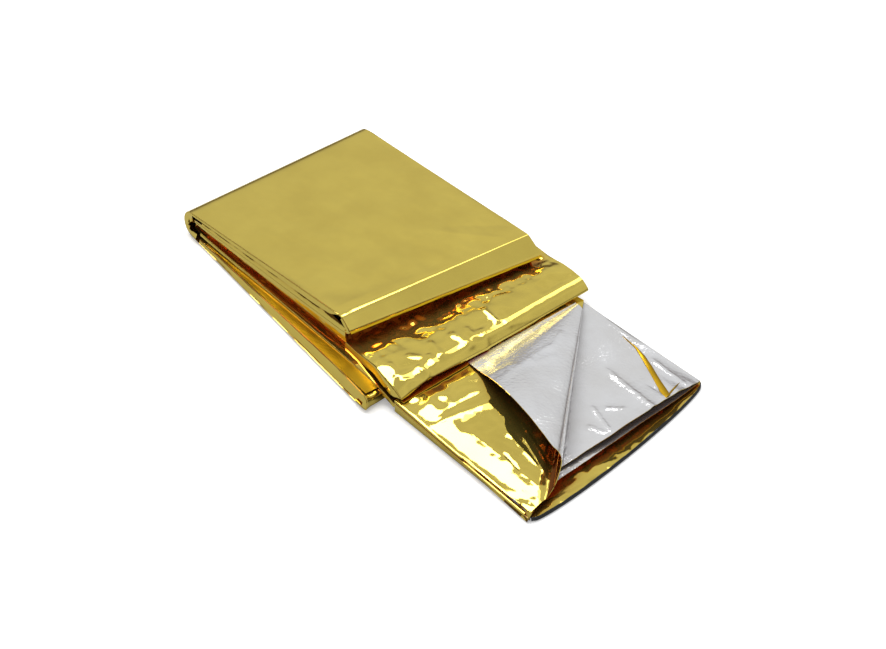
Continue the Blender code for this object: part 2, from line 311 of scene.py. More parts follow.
# Crumples are flat facets between sharp edges: the size of a facet, how high its corners may
# be, and the seed of its chance heights.
Crumple = namedtuple("Crumple", "size height seed")
LATTICE_TURN = (0.8, 0.6)  # cosine and sine of the turn of the facets' lattice
WARP = 0.35  # how far it is warped, in facets
WARP_SIZE = 1.6
WARP_SEEDS = (20, 40)  # what the warps along x and y add to the facets' seed
FLIP_SEED = 60  # and what the choice of a facet's diagonal adds
SMOOTH_FILM = (Crumple(60, 0.35, 3), Crumple(24, 0.08, 4))
CREASED_FILM = (Crumple(24, 0.8, 5), Crumple(10, 0.5, 6))
CRUMPLED_FILM = (Crumple(26, 0.5, 7), Crumple(10, 0.4, 8), Crumple(5, 0.15, 9))
SOFT_FILM = (Crumple(34, 0.5, 10), Crumple(14, 0.15, 11))
LIP_CRUMPLE = Crumple(7, 1, 15)
LOOSE_FILM = (Crumple(16, 0.25, 14), Crumple(7, 0.42, 16))
BORDER_FILM = (Crumple(9, 0.7, 22), Crumple(5, 0.35, 23))
PLEATED_FILM = (Crumple(9, 1, 12), Crumple(4, 0.5, 13))
GAP_CRUMPLES = (Crumple(9, 1, 19), Crumple(4, 0.6, 21))
WISPY_FILM = (Crumple(7, 0.6, 17), Crumple(3.5, 0.25, 18))

# Single plies between two lines across. `push` is how far their crumples push them along x. On the
# strip they are crumpled film that closes the gap under the top nose, in maroon painted shade; the
# lower lip of the middle nose; the hem that stands below the top nose's edge, in amber painted
# reflection; and a ply along the lowest tier's near edge in the dull gold painted reflection, a
# duller, deeper copy of the gold. At the open end one is in the gap behind the front border.
SinglePly = namedtuple("SinglePly", "top foot columns crumples push wall region")
STRIP_PLIES = (
    SinglePly(((-59, 29.5, 28.2), (-30, 217, 22.8)), ((-57, 29.5, 17.4), (-34, 217, 17.2)),
              2 * STRIP_COLUMNS, GAP_CRUMPLES, 2.5, LIP_WALL, GAP),
    SinglePly(((10, 21.5, 13.4), (20, 112, 12.6)), ((23.4, 20.2, 13.3), (27.2, 110, 12.9)),
              60, WISPY_FILM, 0, LIP_WALL, PLAIN),
    SinglePly(((-52.1, 30, 31), (-22.2, 219.5, 24.7)), ((-50.9, 29.9, 29.6), (-21, 219.4, 23.3)),
              80, WISPY_FILM, 0.4, TUCK_WALL, NOSE),
    SinglePly(((-252, 25.6, 6.5), (-4.5, 5.4, 13.4)), ((-252, 44, 6.3), (-4.5, 26, 9.9)),
              80, WISPY_FILM, 0.5, TUCK_WALL, LOW),
)
FRONT_GAP_PLY = SinglePly(((151, 26, 5.6), (151, 205, 5.2)), ((152, 26, 0.9), (152, 205, 0.9)),
                          160, GAP_CRUMPLES, 1.2, TUCK_WALL, SKIRT)
PLY_STEPS = 12
PLY_WISP = 4  # the smaller, the longer its crumples are down the ply

# Soft waves, stretched by the shares of x and y in their own x, and of x in their own y.
Wave = namedtuple("Wave", "height x_by_x x_by_y y_by_x size seed")
TOP_FINE_WAVE = Wave(0.06, 0.35, 0.1, 0, 5, 33)
TOP_FRONT_WAVE = Wave(0.25, 0.6, 0.3, -0.2, 13, 34)
MIDDLE_WAVE = Wave(0.7, 0.5, 0, 0, 13, 31)
MIDDLE_FINE_WAVE = Wave(0.3, 0.6, 0, 0, 5, 32)
TOP_PLY_WAVE = Wave(0.5, 0.6, 0, 0, 6, 35)
CREASE_WAVE = Wave(0.12, 1, 0, 0, 9, 77)  # of a crease's line, in widths

# Growths along the strip, in rows past a line.
TOP_CREST = Growth(-5, 4)  # past the top crease
UNDER_TOP_START = Growth(8, 6)  # past the middle start
UNDER_TOP_END = Growth(3, -6)  # past the middle rise
MIDDLE_CROWN = Growth(4, 7)  # past the middle crown

# How much of their crumples and waves parts of the film have, gain and lose.
TOP_REAR_SHARE = 0.6
TOP_FRONT_GAIN = 0.6
TOP_CREST_LOSS = 0.7
MIDDLE_WAVE_SHARE = 0.2
UNDER_TOP_GAIN = 1.2
MIDDLE_CROWN_LOSS = 0.8
BOTTOM_SHARE = 0.12
RUN_OUT_SHARE = 0.4
CURL_SHARE = 0.5
LOWER_SHARE = 0.3

TOP_PLY_RELIEF = Growth(PLY_NEAR_Y, 6)  # along y
TOP_PLY_WAVES = Growth(64, -24)  # along x
CORNER_PLEATS = Growth(30, -10)  # along y
BORDER_CRUMPLES = Growth(142, 8)  # along x, at the front of the lowest ply

# Corners where the film is pleated.
Corner = namedtuple("Corner", "x y reach height")
STRIP_CORNERS = (Corner(-61, 31, 16, 0.5), Corner(-3, 5, 14, 0.6), Corner(19, 23, 9, 0.9))
OPEN_CORNER = Corner(163, 19, 22, 1)

# ---- colours and light
GOLD = (0.935, 0.733, 0.153, 1)
# painted shade: gold deep in folds, darker and redder, as gold that mirrors gold in shade
PAINTED_GOLD_FOLD_SHADE = (0.60, 0.25, 0.033, 1)
# painted reflection: gold mirrored in gold, for the hem under the top nose's edge
AMBER_PAINTED_REFLECTION = (0.98, 0.62, 0.02, 1)
# painted reflection: a duller, deeper copy of the gold, as gold mirrored in gold, for the ply
# along the lowest tier's near edge and for the tucks
DULL_GOLD_PAINTED_REFLECTION = (0.60, 0.36, 0.014, 1)
# painted shade: gold mirrored in gold in deep shade, for the ply in the gap under the top nose and
# the curl's front side
MAROON_PAINTED_SHADE = (0.22, 0.07, 0.015, 1)
SILVER = (0.965, 0.97, 0.99, 1)
# painted shade: silver deep in folds, a darker grey
PAINTED_SILVER_FOLD_SHADE = (0.58, 0.57, 0.58, 1)
# painted shade on the lowest ply's turned border, silver film as it looks in shade; also the dark
# of the cut edges
SLATE_SHADE_AND_EDGE = (0.07, 0.075, 0.08, 1)
CLOUD = (0.93, 0.92, 0.90, 1)
WHITE = (1, 1, 1, 1)
METALLIC = 0.93
SILVER_METALLIC = 0.8

Stop = namedtuple("Stop", "place colour")  # of a colour ramp

# Films. Their second colour is painted shade, laid on where other film is near: a deeper colour
# that stands in for the shade, and for the gold mirrored in gold, deep in folds. The amber, dull
# gold and maroon films are painted reflection and shade too, as darker, redder copies of the gold
# film, and the slate film is painted shade. The larger `grain` is, the finer the crinkle.
Film = namedtuple("Film", "name colour in_folds metallic roughness crinkle grain")
FILMS = (
    Film("gold_film", GOLD, PAINTED_GOLD_FOLD_SHADE, METALLIC, 0.08, 0.07, 160),
    Film("amber_painted_reflection_film", AMBER_PAINTED_REFLECTION, AMBER_PAINTED_REFLECTION, METALLIC, 0.2, 0.1, 160),
    Film("silver_film", SILVER, PAINTED_SILVER_FOLD_SHADE, SILVER_METALLIC, 0.14, 0.22, 400),
    Film("shaded_border_and_edge_film", SLATE_SHADE_AND_EDGE, SLATE_SHADE_AND_EDGE, METALLIC, 0.14, 1, 90),
    Film("dull_gold_painted_reflection_film", DULL_GOLD_PAINTED_REFLECTION, DULL_GOLD_PAINTED_REFLECTION, METALLIC, 0.32, 0.15, 160),
    Film("maroon_painted_shade_film", MAROON_PAINTED_SHADE, MAROON_PAINTED_SHADE, METALLIC, 0.12, 0.07, 160),
)
PAINTED_SHADE_REACH = 0.022  # how near other film must be for the painted shade to deepen the colour, in metres
PAINTED_SHADE_SAMPLES = 8
PAINTED_SHADE_OPENNESS = (0.45, 0.9)  # how open folds are with their full painted shade, and with the plain colour
SMUDGE_SCALE = 28  # of the clouds and of the changes in roughness
SMUDGE_DETAIL = 3
ROUGHNESS_RANGE = (0.7, 1.3)
CLOUDS = (Stop(0.35, CLOUD), Stop(0.65, WHITE))
CRINKLE_DETAIL = 2
CRINKLE_DEPTH = 0.001

# Looks of the faces of each piece. A region's front has the look at its place in the list, or
# at 0, its back has the next one, and its cut edge the one after that.
STRIP_LOOKS = (("gold_film",) * 3 + ("amber_painted_reflection_film",) * 3 + ("dull_gold_painted_reflection_film",) * 3
               + ("maroon_painted_shade_film",) * 3)
OPEN_LOOKS = (("gold_film", "silver_film", "gold_film", "gold_film") + ("shaded_border_and_edge_film",) * 3
              + ("dull_gold_painted_reflection_film",) * 3 + ("maroon_painted_shade_film", "silver_film", "gold_film"))
# Painted light among the looks: the nose hem has the amber painted reflection, the low ply and the
# tucks the dull gold painted reflection, the gap ply and the curl's front the maroon painted
# shade, and the border the slate painted shade.
FRONT_LOOK = {NOSE: 3, LOW: 6, GAP: 9,
              LOWER: 1, LOWEST: 2, SKIRT: 2, BORDER: 4, TUCK: 7, CURL: 10}

# The studio round the blanket: sine of the elevation, and its colour there.
WALLS = (
    Stop(0.12, (0.055, 0.030, 0.020, 1)),
    Stop(0.42, (0.50, 0.50, 0.50, 1)),
    Stop(0.62, (0.59, 0.59, 0.59, 1)),
    Stop(0.92, (0.46, 0.46, 0.46, 1)),
)

# The softboxes over it: a large one, and a strip that the crests of the tiers mirror.
Softbox = namedtuple("Softbox", "name place size turn radiance")
SOFTBOXES = (
    Softbox("large_softbox", (-1.52, 0.215, 3), (3.7, 1.35), radians(30), 6),
    Softbox("strip_softbox", (-0.52, 2.05, 3), (0.85, 1.9), 0, 1.9),
)
FLOOR_SIZE = 24
FLOOR_DROP = 0.0005  # how far the floor lies below the film
FLOOR_ROUGHNESS = 0.9
STUDIO_SEEN = (0.95, 0.95, 0.95, 1)  # floor and backdrop, to the camera
FLOOR_IN_FILM = (0.44, 0.44, 0.44, 1)
FLOOR_GLOW = 0.3  # keeps the shadows on it faint for the camera

CAMERA_AZIMUTH = radians(-42.5)
CAMERA_ELEVATION = radians(42.2)
CAMERA_DISTANCE = 1.1
CAMERA_AIM = Vector((0.0241, -0.0017, 0))
CAMERA_LENS = 52.82
CAMERA_NEAR_CLIP = 0.01
SHARP_ANGLE = radians(40)
WELD_DISTANCE = 0.005  # points of the open end this near each other are one point


# ==== small helpers
def blend(first, second, share):
    """Point or number a share of the way from first to second."""
    return first + (second - first) * share


def smooth(value):
    """0 to 1 with level ends, for a number or an array that is cut to that range."""
    held = np.clip(value, 0.0, 1.0)
    return held * held * (3 - 2 * held)


def grown(value, growth):
    """How far, 0 to 1, something has grown."""
    return smooth((value - growth.start) / growth.length)


# ==== the folded strip
def line_points(line, shares):
    """Points of a line across the strip with its pushes, one for each share of its width."""
    near, far = np.array((line.near, line.far), float)
    points = near + (far - near) * shares[:, None]
    points[:, 2] = far[2] + (near[2] - far[2]) * (1 - shares) ** line.ease
    for push in [push for push in PUSHES if push.line == line.name]:
        y = points[:, 1]
        weight = smooth((y - push.start) / (push.full - push.start))
        weight = weight * smooth((push.stop - y) / (push.stop - push.full))
        points[:, 0] += push.x * weight
        points[:, 2] += push.z * weight
    return points


def strip_rows(shares):
    """Rows of points along the strip, and the number of the row at each line."""
    rows = []
    starts = {}
    for line, following in zip(STRIP, STRIP[1:] + (None,)):
        starts[line.name] = len(rows)
        here = line_points(line, shares)
        if following is None:
            rows.append(here)
            break
        there = line_points(following, shares)
        for step in range(line.steps):
            part = step / line.steps
            if line.turn == 0:
                rows.append(here + (there - here) * part)
                continue
            angle = pi / 2 - pi * part
            point = (here + there) / 2 + (here - there) / 2 * sin(angle)
            radius = np.abs(here[:, 2] - there[:, 2]) / 2
            point[:, 0] += line.turn * radius * max(0.0, cos(angle)) ** abs(line.turn)
            rows.append(point)
    return np.array(rows), starts


def rounded(rows, passes):
    """Rows of points with their bends rounded, the first and last rows held."""
    for _ in range(passes):
        middle = (rows[:-2] + 2 * rows[1:-1] + rows[2:]) / 4
        rows = np.concatenate([rows[:1], middle, rows[-1:]])
    return rows


def inward_directions(edge):
    """Which way is into the fold at each point of an edge of the strip."""
    tangent = np.gradient(edge, axis=0)
    inward = np.stack([tangent[:, 2], np.zeros(len(edge)), -tangent[:, 0]], axis=1)
    return inward / np.linalg.norm(inward, axis=1)[:, None]


def lip_edge(lip, rows, starts):
    """Lengths along the edge that a lip turns over, with its points, depth and lean there."""
    column = 0 if lip.side == "near" else -1
    first, last = starts[lip.sizes[0][0]], starts[lip.sizes[-1][0]]
    coarse = rows[first:last + 1, column]
    travelled = np.concatenate([[0], np.cumsum(np.linalg.norm(np.diff(coarse, axis=0), axis=1))])
    marks = [travelled[starts[name] - first] for name, _, _ in lip.sizes]
    segments = round(travelled[-1] / LIP_STEP)
    along = np.linspace(0, travelled[-1], segments + 1)
    edge = np.stack([np.interp(along, travelled, coarse[:, axis]) for axis in range(3)], axis=1)
    depth = np.interp(along, marks, [depth for _, depth, _ in lip.sizes])
    lean = np.interp(along, marks, [lean for _, _, lean in lip.sizes])
    return along[:, None], edge, depth[:, None], lean[:, None]


def lip_grid(lip, rows, starts):
    """Rows of film that turns over one edge of the strip and in."""
    along, edge, depth, lean = lip_edge(lip, rows, starts)
    shares = np.linspace(0, 1, LIP_COLUMNS + 1)
    crowded = shares ** LIP_CROWDING
    turned = depth * crowded
    plies = PLY_BULGE * np.abs(np.sin(pi * lip.plies * crowded)) * (lip.plies > 1)
    profile = lean * shares ** lip.curve + lip.fold * (1 - (1 - shares) ** LIP_ROUNDING) + plies
    bumps = facets(along + 0 * turned, turned * LIP_SHORTENING, LIP_CRUMPLE)
    bulge = profile + lip.crumple * np.sin(pi * shares / 2) * bumps
    points = edge[:, None, :] + inward_directions(edge)[:, None, :] * turned[:, :, None]
    points[:, :, 1] += bulge * (-1 if lip.side == "near" else 1)
    return points


def single_ply_rows(ply):
    """Rows of a crumpled ply between two lines, pushed along x by its crumples."""
    shares = np.linspace(0, 1, ply.columns + 1)[:, None]
    top, foot = [near + (far - near) * shares
                 for near, far in np.array((ply.top, ply.foot), float)]
    rows = []
    for part in np.linspace(0, 1, PLY_STEPS + 1):
        row = top * (1 - part) + foot * part
        bump = crumpled(row[:, 1], part * PLY_WISP + 0 * row[:, 1], ply.crumples)
        row[:, 0] += ply.push * bump * sin(pi * part)
        rows.append(row)
    return rows


# ==== the open end
def open_point(length, share):
    """Point of the lowest ply of the open end."""
    start = blend(*OPEN_START, share)
    end = blend(*FREE_END, share)
    point = blend(start, end, length)
    point.x += FRONT_BOW * length ** 2 * sqrt(max(0.0, 4 * share * (1 - share)))
    point.z = blend(start.z, end.z, 1 - (1 - length) ** 2)
    return point


def lowest_point(length, share):
    """Point of the lowest ply, which dips behind its raised front border."""
    point = open_point(length, share)
    inside = smooth(share / DIP_NEAR_FADE) * smooth((1 - share) / DIP_FAR_FADE)
    end = np.interp(share, [width for width, _ in DIP_END], [reach for _, reach in DIP_END])
    risen = np.clip(1 - (end - length) / DIP_RISE, 0, 1)
    behind = grown(length, DIP_GROWTH) * (1 - risen)
    point.z -= DIP * inside * behind
    return point


def front_station(ply, share):
    """x and z of a ply's front edge at a share of its width."""
    for low, high in zip(ply.front, ply.front[1:]):
        if share <= high[0]:
            part = smooth((share - low[0]) / (high[0] - low[0]))
            return blend(low[1], high[1], part), blend(low[2], high[2], part)


def ply_point(ply, length, share):
    """Point of a ply that lies over the strip and lifts toward its front."""
    base = open_point(length, share)
    front_x, front_z = front_station(ply, share)
    lift = front_z - open_point(1, share).z - ply.rise
    raised = lift * max(0, (length - ply.lift_from) / (1 - ply.lift_from)) ** 2
    return Vector((blend(open_point(0, share).x, front_x, length),
                   blend(PLY_NEAR_Y, PLY_FAR_Y, share), base.z + ply.rise + raised))


def top_ply_edge(length):
    """Far end of the flat top ply: its own far edge, then the line from the pinch."""
    start = open_point(0, 1)
    start.y = PINCH.y
    start.z += TOP_RISE
    if length <= PINCH_LENGTH:
        return blend(start, PINCH, length / PINCH_LENGTH)
    return blend(PINCH, FLAT_FRONT, (length - PINCH_LENGTH) / (1 - PINCH_LENGTH))


def top_ply_point(length, share):
    """Point of the flat part of the top ply, which is crowned along its near edge."""
    near = open_point(length, 0) + Vector((0, 0, TOP_RISE))
    near.y = PLY_NEAR_Y
    edge = top_ply_edge(length)
    point = blend(near, edge, share)
    inward = point.y - near.y
    to_edge = edge.y - point.y
    crown = blend(CROWN[0], CROWN[1], grown(point.x, CROWN_GROWTH))
    point.z += crown * smooth(inward / CROWN_NEAR_FADE) * smooth(to_edge / CROWN_FAR_FADE)
    return point


def edge_fold(low, high, bulge):
    """Points round a fold that joins two plies along an edge, without its ends."""
    middle = (low + high) / 2
    out = Vector((0, bulge * (high - low).length / 2, 0))
    angles = [pi * step / EDGE_SEGMENTS for step in range(1, EDGE_SEGMENTS)]
    return [middle + (low - middle) * cos(angle) + out * sin(angle) for angle in angles]


def evenly(count):
    """Shares from 0 to 1 in even steps."""
    return [step / count for step in range(count + 1)]


def ply_row(length):
    """One row through the lowest ply and all the plies over it, to and fro."""
    lowest = [lowest_point(length, share) for share in reversed(evenly(LOWEST_COLUMNS))]
    lower = [ply_point(LOWER_PLY, length, share) for share in evenly(LOWER_COLUMNS)]
    upper = [ply_point(UPPER_PLY, length, share) for share in reversed(evenly(UPPER_COLUMNS))]
    top = [top_ply_point(length, share) for share in evenly(TOP_COLUMNS)]
    row = lowest + edge_fold(lowest[-1], lower[0], -1) + lower
    row += edge_fold(lower[-1], upper[0], 1) + upper
    gap = grown(length, GAP_GROWTH)
    row += edge_fold(upper[-1], top[0], blend(-1, GAP_BULGE, gap)) + top
    return row


def skirt_line(point, out):
    """Film that turns down from a point of the lowest ply's border, to the floor."""
    line = []
    for step in range(SKIRT_SEGMENTS + 1):
        angle = pi / 2 * step / SKIRT_SEGMENTS
        drop = (point.z - FOOT) * (1 - cos(angle))
        line.append(point + out * sin(angle) - Vector((0, 0, drop)))
    return line


def skirt_rows():
    """The turned border of the lowest ply, along its near, front and far edges."""
    side, ahead = Vector((0, SKIRT_SIDE, 0)), Vector((SKIRT_FRONT, 0, 0))
    near = [skirt_line(open_point(length, 0), -side) for length in evenly(OPEN_ROWS)]
    front = [skirt_line(open_point(1, share), ahead) for share in evenly(SKIRT_COLUMNS)]
    far = [skirt_line(open_point(length, 1), side) for length in reversed(evenly(OPEN_ROWS))]
    return near, front, far


def hem_rows():
    """The pleated hem, from the top ply's near edge out and down to the floor."""
    (start, end), (foot_start, foot_end) = np.array(HEM, float)
    rows = []
    for share in evenly(HEM_ROWS):
        top, foot = blend(start, end, share), blend(foot_start, foot_end, share)
        length = (top[0] - OPEN_START[0].x) / (FREE_END[0].x - OPEN_START[0].x)
        inward = (top[1] - PLY_NEAR_Y) / (PLY_FAR_Y - PLY_NEAR_Y)
        high = top_ply_point(length, inward).z + HEM_LIFT
        row = []
        for down in evenly(HEM_COLUMNS):
            x, y = blend(top, foot, down ** HEM_BELLY)
            pleat = crumpled(np.array(x), np.array(down * HEM_WISP), PLEATED_FILM)
            row.append(Vector((x, y - pleat * sin(pi * down), blend(high, FOOT, down))))
        rows.append(row)
    return rows


def tuck_rows(tucks, surface):
    """Rows of a low ridge along a fold of the upper ply; `surface` gives the ply's height."""
    rows = []
    for step in range((len(tucks) - 1) * TUCK_STEPS + 1):
        x, y, width = [np.interp(step / TUCK_STEPS, range(len(tucks)), column)
                       for column in zip(*tucks)]
        height = surface(x, y)
        rows.append([Vector((x, y + width * side, height + TUCK_HEIGHT * (TUCK_TOP - side ** 2)))
                     for side in TUCK_SIDES])
    return rows


def upper_ply_height(x, y):
    """Height of the upper ply at a place of the table."""
    share = (y - PLY_NEAR_Y) / (PLY_FAR_Y - PLY_NEAR_Y)
    start_x, front_x = open_point(0, share).x, front_station(UPPER_PLY, share)[0]
    return ply_point(UPPER_PLY, (x - start_x) / (front_x - start_x), share).z


def curl_row(length):
    """One row of the curl, from the edge of the flat ply to the tucked edge."""
    reach = (length - PINCH_LENGTH) / (1 - PINCH_LENGTH)
    corners = [Vector(point) for point in CURL_FRONT]
    row = []
    for step in range((len(corners) - 1) * CURL_STEPS + 1):
        place = step / CURL_STEPS
        front = rounded_corner(corners, place)
        clearance = PINCH_CLEARANCE * smooth(place / CURL_TURN)
        row.append(blend(PINCH + Vector((0, 0, clearance)), front, reach))
    row[0] = top_ply_edge(length)
    return row


def rounded_corner(corners, place):
    """Point of a Catmull-Rom curve through the corners, at a place counted in corners."""
    low = min(int(place), len(corners) - 2)
    part = place - low
    before = corners[max(low - 1, 0)]
    start, end = corners[low], corners[low + 1]
    after = corners[min(low + 2, len(corners) - 1)]
    return 0.5 * (2 * start + (end - before) * part
                  + (2 * before - 5 * start + 4 * end - after) * part ** 2
                  + (3 * start - 3 * end + after - before) * part ** 3)


# ==== relief
def chance(i, j, seed):
    """A number from -1 to 1 for each lattice point, by the usual constants of a sine hash."""
    mixed = np.sin(i * 127.1 + j * 311.7 + seed * 74.7) * 43758.5453
    return 2 * (mixed - np.floor(mixed)) - 1


def soft_noise(x, y, size, seed):
    """Smooth waves of about one size, from -1 to 1."""
    x, y = x / size, y / size
    i, j = np.floor(x), np.floor(y)
    a, b = smooth(x - i), smooth(y - j)
    low = chance(i, j, seed) * (1 - a) + chance(i + 1, j, seed) * a
    high = chance(i, j + 1, seed) * (1 - a) + chance(i + 1, j + 1, seed) * a
    return low * (1 - b) + high * b


def wave_at(x, y, wave):
    """Height of soft waves."""
    across = x * wave.x_by_x + y * wave.x_by_y
    return wave.height * soft_noise(across, y + x * wave.y_by_x, wave.size, wave.seed)


def lattice_place(x, y, size, seed):
    """Place on a lattice that is turned and warped, so that its rows don't show."""
    warp_x, warp_y = [place + WARP * size * soft_noise(x, y, size * WARP_SIZE, seed + more)
                      for place, more in zip((x, y), WARP_SEEDS)]
    along, across = LATTICE_TURN
    return ((warp_x * along + warp_y * across) / size, (warp_y * along - warp_x * across) / size)


def facets(x, y, crumple):
    """Height of film that is crumpled into flat facets with sharp edges between them."""
    seed = crumple.seed
    x, y = lattice_place(x, y, crumple.size, seed)
    i, j = np.floor(x), np.floor(y)
    a, b = x - i, y - j
    h00, h10 = chance(i, j, seed), chance(i + 1, j, seed)
    h01, h11 = chance(i, j + 1, seed), chance(i + 1, j + 1, seed)
    flip = chance(i, j, seed + FLIP_SEED) > 0
    one = np.where(a > b, h00 + (h10 - h00) * a + (h11 - h10) * b,
                   h00 + (h01 - h00) * b + (h11 - h01) * a)
    other = np.where(a + b < 1, h00 + (h10 - h00) * a + (h01 - h00) * b,
                     h11 + (h01 - h11) * (1 - a) + (h10 - h11) * (1 - b))
    return np.where(flip, one, other) * crumple.height


def crumpled(x, y, crumples):
    """Height of several sizes of crumple together."""
    return sum(facets(x, y, crumple) for crumple in crumples)


def creased(x, y, creases):
    """Height that a table of creases adds at each place."""
    height = np.zeros_like(x)
    for crease in creases:
        along_x, along_y = crease.x1 - crease.x0, crease.y1 - crease.y0
        length = sqrt(along_x ** 2 + along_y ** 2)
        share = ((x - crease.x0) * along_x + (y - crease.y0) * along_y) / length ** 2
        across = ((x - crease.x0) * along_y - (y - crease.y0) * along_x) / length
        across = across + crease.width * wave_at(x, y, CREASE_WAVE)
        fade = smooth(share / CREASE_END + CREASE_END_HEIGHT)
        fade = fade * smooth((1 - share) / CREASE_END + CREASE_END_HEIGHT)
        width = crease.width * np.where(across > 0, 1 + crease.lean, 1 - crease.lean)
        height += crease.height * fade * np.exp(-np.abs(across) / width * CREASE_SHARPNESS)
    return height


def top_tier_relief(x, y, places, starts):
    """Relief of the top tier: smooth film that is livelier at its front, and calm on its crest."""
    front = smooth((places - starts["wrap top"]) / (starts["top crease"] - starts["wrap top"]))
    fine = wave_at(x, y, TOP_FINE_WAVE) + front * wave_at(x, y, TOP_FRONT_WAVE)
    bumps = crumpled(x, y, SMOOTH_FILM) * (TOP_REAR_SHARE + TOP_FRONT_GAIN * front) + fine
    crest = grown(places - starts["top crease"], TOP_CREST)
    return bumps * (1 - TOP_CREST_LOSS * crest) + creased(x, y, TOP_TIER_CREASES)


def middle_tier_relief(x, y, places, starts):
    """Relief of the middle tier: creased film, most of all where the top nose hides it."""
    wave = wave_at(x, y, MIDDLE_WAVE) + wave_at(x, y, MIDDLE_FINE_WAVE)
    under_top = grown(places - starts["middle start"], UNDER_TOP_START)
    under_top = under_top * grown(places - starts["middle rise"], UNDER_TOP_END)
    calm = 1 - MIDDLE_CROWN_LOSS * grown(places - starts["middle crown"], MIDDLE_CROWN)
    return (crumpled(x, y, CREASED_FILM) * calm
            + wave * (MIDDLE_WAVE_SHARE + UNDER_TOP_GAIN * under_top)
            + under_top * crumpled(x, y, WISPY_FILM) + creased(x, y, MIDDLE_TIER_CREASES))


def strip_relief(x, y, places, starts):
    """How far each point of the folded strip moves along its normal."""
    soft = crumpled(x, y, SOFT_FILM)
    on_top = (places >= starts["wrap top"]) & (places <= starts["top nose under"])
    on_middle = (places >= starts["upper rear low"]) & (places <= starts["middle nose under"])
    on_bottom = places <= starts["bottom nose low"]
    on_run_out = places > starts["middle nose under"]
    relief = on_top * top_tier_relief(x, y, places, starts)
    relief += on_middle * middle_tier_relief(x, y, places, starts)
    relief += on_bottom * soft * BOTTOM_SHARE + on_run_out * soft * RUN_OUT_SHARE
    for corner in STRIP_CORNERS:
        relief += corner.height * near_corner(x, y, corner) * crumpled(x, y, PLEATED_FILM)
    return relief


def near_corner(x, y, corner):
    """1 at a pleated corner, and 0 past its reach."""
    return smooth(1 - np.hypot(x - corner.x, y - corner.y) / corner.reach)


def open_relief(x, y, regions):
    """How far each point of the open end moves along its normal."""
    soft = crumpled(x, y, SOFT_FILM)
    corner = OPEN_CORNER.height * near_corner(x, y, OPEN_CORNER)
    top = crumpled(x, y, CRUMPLED_FILM) + wave_at(x, y, TOP_PLY_WAVE) * grown(x, TOP_PLY_WAVES)
    top = top + creased(x, y, TOP_PLY_CREASES)
    border = grown(x, BORDER_CRUMPLES) * np.abs(crumpled(x, y, BORDER_FILM))
    relief = (regions == TOP) * grown(y, TOP_PLY_RELIEF) * top
    relief += (regions == TOP) * corner * crumpled(x, y, PLEATED_FILM) * grown(y, CORNER_PLEATS)
    relief -= (regions == UPPER) * (soft + creased(x, y, UPPER_PLY_CREASES))
    relief -= (regions == CURL) * (soft * CURL_SHARE + creased(x, y, CURL_CREASES))
    relief += (regions == LOWER) * soft * LOWER_SHARE
    relief -= (regions == LOWEST) * (crumpled(x, y, LOOSE_FILM) + border)
    return relief


# ==== meshes
def new_work():
    """An empty mesh in the making, with the values that each of its points carries."""
    work = bmesh.new()
    for name in ("wall", "place", "free"):
        work.verts.layers.float.new(name)
    work.faces.layers.int.new("region")
    return work


def add_grid(work, rows, wall, places=None, free=None, regions=None):
    """Add a grid of points with its wall. For each column, `places` is its place (its row, where
    none is given), `free` how much of the relief it has and `regions` its faces' region."""
    layers = work.verts.layers.float
    walls, place_layer, free_layer = layers["wall"], layers["place"], layers["free"]
    region_layer = work.faces.layers.int["region"]
    verts = []
    for number, row in enumerate(rows):
        line = [work.verts.new(tuple(point)) for point in row]
        for column, vertex in enumerate(line):
            vertex[walls] = wall
            vertex[place_layer] = number if places is None else places[column]
            vertex[free_layer] = 1.0 if free is None else free[column]
        verts.append(line)
    for line, following in zip(verts, verts[1:]):
        for j in range(len(line) - 1):
            face = work.faces.new((line[j], following[j], following[j + 1], line[j + 1]))
            face[region_layer] = PLAIN if regions is None else regions[j]


def add_region(work, rows, wall, region):
    """Add a grid of the open end that is all one region."""
    everywhere = [region] * len(rows[0])
    add_grid(work, rows, wall, places=everywhere, regions=everywhere)


def values_of(items, name, kind, width=1):
    """Values of the items of a mesh, one row for each."""
    values = np.empty(len(items) * width, kind)
    items.foreach_get(name, values)
    return values.reshape(-1, width)


def sheet_mesh(work, name, relief):
    """The mesh in metres, with its relief, and each point's wall."""
    work.normal_update()
    mesh = bpy.data.meshes.new(name)
    work.to_mesh(mesh)
    work.free()
    points = values_of(mesh.vertices, "co", np.float32, 3).astype(float)
    normals = values_of(mesh.vertex_normals, "vector", np.float32, 3)
    walls, places, free = [values_of(mesh.attributes[layer].data, "value", np.float32)[:, 0]
                           for layer in ("wall", "place", "free")]
    heights = relief(points[:, 0], points[:, 1], places) * free
    points += normals * heights[:, None]
    points[:, 0] -= ORIGIN[0]
    points[:, 1] -= ORIGIN[1]
    mesh.vertices.foreach_set("co", (points * MM).astype(np.float32).ravel())
    mesh.update()
    return mesh, walls


def give_looks(mesh, materials):
    """Give the faces the look of their region's front."""
    for material in materials:
        mesh.materials.append(material)
    regions = values_of(mesh.attributes["region"].data, "value", np.int32)[:, 0]
    fronts = np.array([FRONT_LOOK.get(region, 0) for region in regions.tolist()], np.int32)
    mesh.polygons.foreach_set("material_index", fronts)


